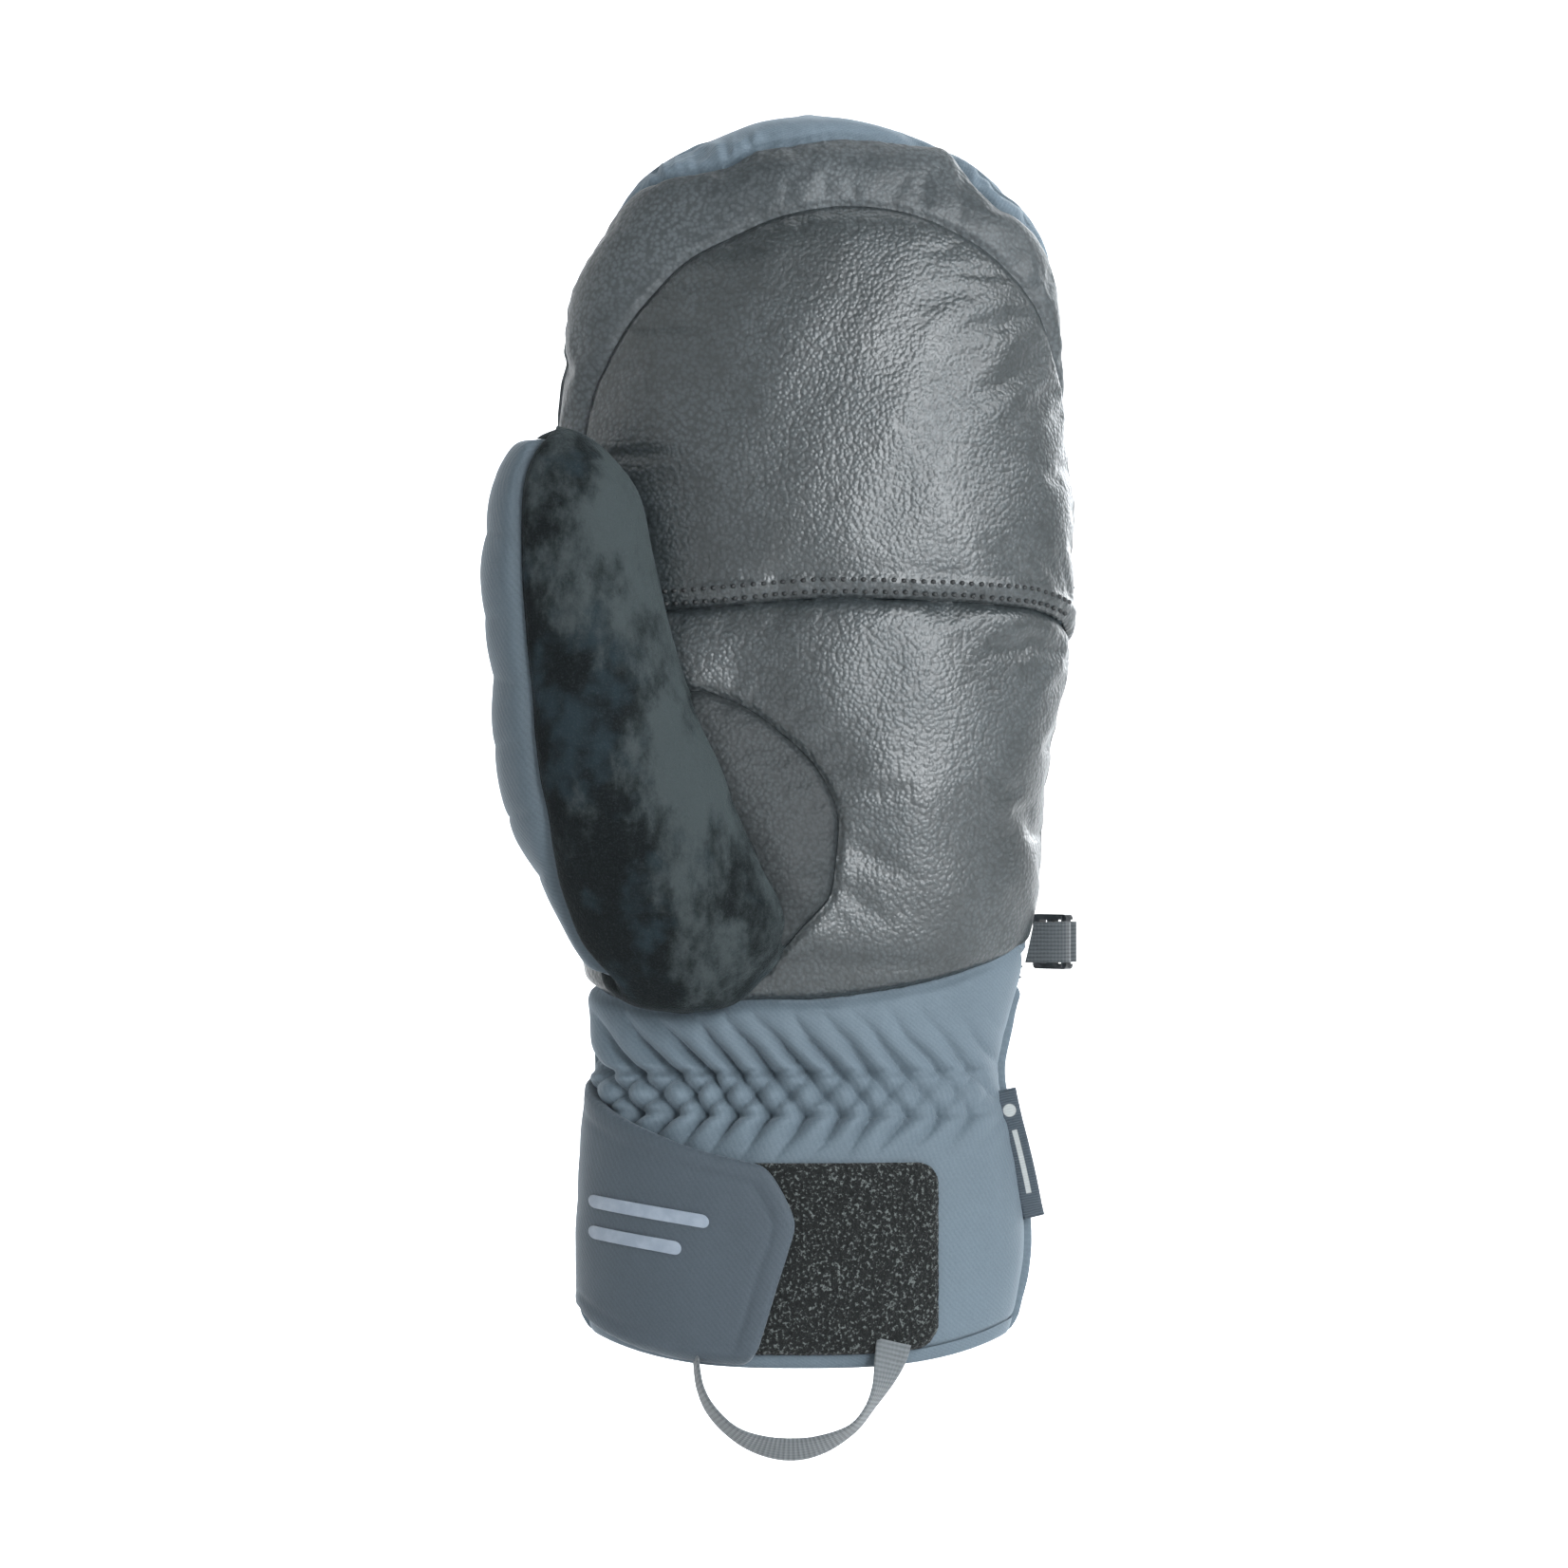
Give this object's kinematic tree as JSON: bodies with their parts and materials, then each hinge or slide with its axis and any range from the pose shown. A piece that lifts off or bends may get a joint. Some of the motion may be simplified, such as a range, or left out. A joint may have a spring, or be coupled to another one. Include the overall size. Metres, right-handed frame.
{
  "type": "ski mitten",
  "caption": "Padded left-hand ski mitten with a leather palm, quilted back, elastic wrist, wrap closure, pull loop and pair clip.",
  "frame": {"origin": "centre of the hand opening, in the plane of the cuff's hem", "axes": "+Z to the fingertips, -Y the palm, +Y the back of the hand, -X the thumb side; the hand goes in along +Z"},
  "size_m": [0.1362, 0.0793, 0.3089],
  "materials": {
    "palm_leather": "pebbled goat leather with a soft sheen",
    "suede": "brushed nap, mottled",
    "softshell": "matte stretch twill",
    "insulation": "needled wadding",
    "membrane": "thin film",
    "fleece": "brushed fleece",
    "binding": "woven tape",
    "elastic": "braided elastic",
    "hook_tape": "hook tape",
    "loop_pile": "brushed loop pile",
    "reflective_print": "reflective transfer print",
    "webbing": "ribbed narrow webbing",
    "clip_plastic": "satin moulded plastic",
    "label_weave": "woven label"
  },
  "bodies": {
    "mitten": {"palm_upper_leather": "palm_leather", "palm_lower_leather": "palm_leather", "thumb_gusset_leather": "palm_leather", "fingertip_leather": "palm_leather", "palm_wrist_fabric": "softshell", "back_shell": "softshell", "wrist_yoke": "softshell", "cuff_shell": "softshell", "cuff_wrap": "softshell", "thumb_back_fabric": "softshell", "thumb_suede_face": "suede", "palm_insulation": "insulation", "back_insulation": "insulation", "thumb_insulation": "insulation", "cuff_padding": "insulation", "hand_membrane": "membrane", "thumb_membrane": "membrane", "hand_lining": "fleece", "cuff_lining": "fleece", "thumb_lining": "fleece", "cuff_hem": "binding", "wrist_elastic": "elastic", "closure_patch": "loop_pile", "back_print": "reflective_print", "loop_anchor_left": "webbing", "loop_anchor_right": "webbing", "clip_tab": "webbing", "side_label": "label_weave"},
    "closure": {"closure_flap": "softshell", "flap_hook_tape": "hook_tape", "flap_print": "reflective_print"},
    "pull_loop": {"pull_loop": "webbing"},
    "pair_clip": {"pair_clip": "clip_plastic"}
  },
  "joints": [
    {"name": "closure_peel", "type": "hinge", "parent": "mitten", "child": "closure", "pos_m": [-0.0525, 0, 0.03], "axis": [0, 0, -1], "range_deg": [0, 110]},
    {"name": "pull_loop_swing", "type": "hinge", "parent": "mitten", "child": "pull_loop", "pos_m": [0, -0.02445, -0.0009], "axis": [1, 0, 0], "range_deg": [-75, 75]},
    {"name": "pair_clip_turn", "type": "hinge", "parent": "mitten", "child": "pair_clip", "pos_m": [0.0606, 0.008, 0.0935], "axis": [0, 0, 1], "range_deg": [-90, 30]}
  ]
}
